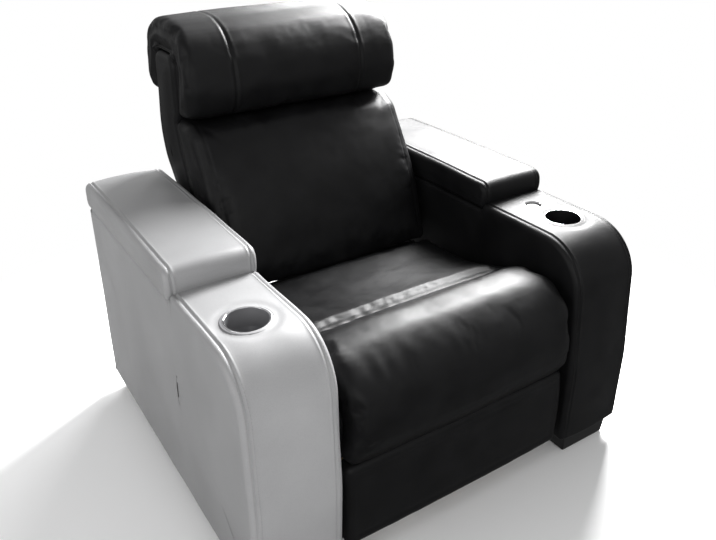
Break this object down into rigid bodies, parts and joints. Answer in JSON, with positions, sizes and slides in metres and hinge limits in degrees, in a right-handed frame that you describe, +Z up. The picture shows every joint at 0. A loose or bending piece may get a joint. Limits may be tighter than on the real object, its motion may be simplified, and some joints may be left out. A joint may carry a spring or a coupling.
{
  "type": "cinema recliner seat",
  "caption": "Power recliner seat for a home cinema: wide padded arms with lift-up storage lids and cup holders, a swing-out footrest and a reclining back with a head pillow.",
  "frame": {"origin": "middle of the seat's footprint on the floor", "axes": "+X to the sitter's left, -Y to the front of the seat, +Z up"},
  "size_m": [1.038, 1.0148, 1.0242],
  "materials": {
    "black_leather": "corrected-grain upholstery leather, semi-gloss",
    "grey_leather": "corrected-grain upholstery leather, light grey, semi-gloss",
    "plywood": "birch plywood, uncoated",
    "hardwood": "planed hardwood, uncoated",
    "black_plastic": "moulded, fine grain",
    "grey_plastic": "moulded, satin",
    "chrome": "chrome plated, polished",
    "black_steel": "powder coated, satin",
    "zinc_steel": "zinc plated",
    "spring_steel": "oiled spring wire"
  },
  "bodies": {
    "base": {"left_arm_cover": "black_leather", "seat_cushion": "black_leather", "seat_front_roll": "black_leather", "right_arm_cover": "grey_leather", "left_arm_frame": "plywood", "right_arm_frame": "plywood", "seat_frame": "hardwood", "left_storage_bin": "black_plastic", "right_storage_bin": "black_plastic", "left_arm_feet": "black_plastic", "right_arm_feet": "black_plastic", "control_housing": "black_plastic", "power_box": "black_plastic", "left_cup_holder": "black_plastic", "right_cup_holder": "grey_plastic", "control_bezel": "chrome", "left_base_rail": "black_steel", "right_base_rail": "black_steel", "left_side_plate": "black_steel", "right_side_plate": "black_steel", "mid_cross_tube": "black_steel", "rear_cross_tube": "black_steel", "front_cross_tube": "black_steel", "footrest_gearmotor": "black_steel", "left_lid_hinge_fixed": "zinc_steel", "right_lid_hinge_fixed": "zinc_steel", "arm_bolts": "zinc_steel", "seat_springs": "spring_steel"},
    "left_lid": {"left_lid_pad": "black_leather", "left_lid_board": "plywood", "left_lid_hinge_moving": "zinc_steel"},
    "right_lid": {"right_lid_pad": "grey_leather", "right_lid_board": "plywood", "right_lid_hinge_moving": "zinc_steel"},
    "open_button": {"open_button": "black_plastic"},
    "close_button": {"close_button": "black_plastic"},
    "lift_links": {"left_lift_link": "zinc_steel", "right_lift_link": "zinc_steel", "torque_tube": "zinc_steel"},
    "control_links": {"left_control_link": "zinc_steel", "right_control_link": "zinc_steel"},
    "carrier_links": {"left_carrier_link": "zinc_steel", "right_carrier_link": "zinc_steel"},
    "footrest": {"footrest_pad": "black_leather", "footrest_board": "plywood", "left_footrest_bracket": "black_steel", "right_footrest_bracket": "black_steel"},
    "ottoman_links": {"left_ottoman_link": "zinc_steel", "right_ottoman_link": "zinc_steel"},
    "back": {"back_cushion": "black_leather", "back_cover": "black_leather", "back_frame": "plywood", "back_springs": "spring_steel", "head_pillow": "black_leather", "left_back_bracket": "black_steel", "right_back_bracket": "black_steel", "recline_lug": "black_steel"},
    "actuator_body": {"recline_actuator": "black_plastic"},
    "actuator_rod": {"recline_rod": "zinc_steel"}
  },
  "joints": [
    {"name": "footrest_lift", "type": "hinge", "parent": "base", "child": "lift_links", "pos_m": [0, -0.385, 0.258], "axis": [-1, 0, 0], "range_deg": [0, 132]},
    {"name": "control_link_swing", "type": "hinge", "parent": "base", "child": "control_links", "pos_m": [0, -0.3308, 0.2417], "axis": [-1, 0, 0], "range_deg": [0, 134]},
    {"name": "carrier_swing", "type": "hinge", "parent": "lift_links", "child": "carrier_links", "pos_m": [0, -0.23179, 0.12944], "axis": [-1, 0, 0], "range_deg": [-123, 0]},
    {"name": "footrest_turn", "type": "hinge", "parent": "carrier_links", "child": "footrest", "pos_m": [0, -0.402, 0.165], "axis": [-1, 0, 0], "range_deg": [0, 81]},
    {"name": "ottoman_link_swing", "type": "hinge", "parent": "footrest", "child": "ottoman_links", "pos_m": [0, -0.37974, 0.12938], "axis": [-1, 0, 0], "range_deg": [-81, 0]},
    {"name": "back_recline", "type": "hinge", "parent": "base", "child": "back", "pos_m": [0, 0.07, 0.372], "axis": [-1, 0, 0], "range_deg": [0, 28]},
    {"name": "actuator_swing", "type": "hinge", "parent": "base", "child": "actuator_body", "pos_m": [0, -0.06, 0.107], "axis": [1, 0, 0], "range_deg": [-1, 0]},
    {"name": "actuator_stroke", "type": "slide", "parent": "actuator_body", "child": "actuator_rod", "axis": [0, -0.6856, -0.728], "range_m": [0, 0.0442]},
    {"name": "left_lid_hinge", "type": "hinge", "parent": "base", "child": "left_lid", "pos_m": [0.415, 0.428, 0.5592], "axis": [-1, 0, 0], "range_deg": [0, 88]},
    {"name": "right_lid_hinge", "type": "hinge", "parent": "base", "child": "right_lid", "pos_m": [-0.415, 0.428, 0.5592], "axis": [-1, 0, 0], "range_deg": [0, 88]},
    {"name": "open_button_press", "type": "slide", "parent": "base", "child": "open_button", "axis": [0, 0, -1], "range_m": [0, 0.0015], "stiffness_N_per_m": 400, "springref_m": -0.0005},
    {"name": "close_button_press", "type": "slide", "parent": "base", "child": "close_button", "axis": [0, 0, -1], "range_m": [0, 0.0015], "stiffness_N_per_m": 400, "springref_m": -0.0005}
  ],
  "couplings": [
    {"joint": "control_link_swing", "follows": "footrest_lift", "ratio": 1.003},
    {"joint": "carrier_swing", "follows": "footrest_lift", "ratio": -0.925},
    {"joint": "footrest_turn", "follows": "footrest_lift", "ratio": 0.60682},
    {"joint": "ottoman_link_swing", "follows": "footrest_lift", "ratio": -0.60455},
    {"joint": "actuator_swing", "follows": "back_recline", "ratio": -0.0094},
    {"joint": "actuator_stroke", "follows": "back_recline", "m_per_rad": 0.089419}
  ]
}
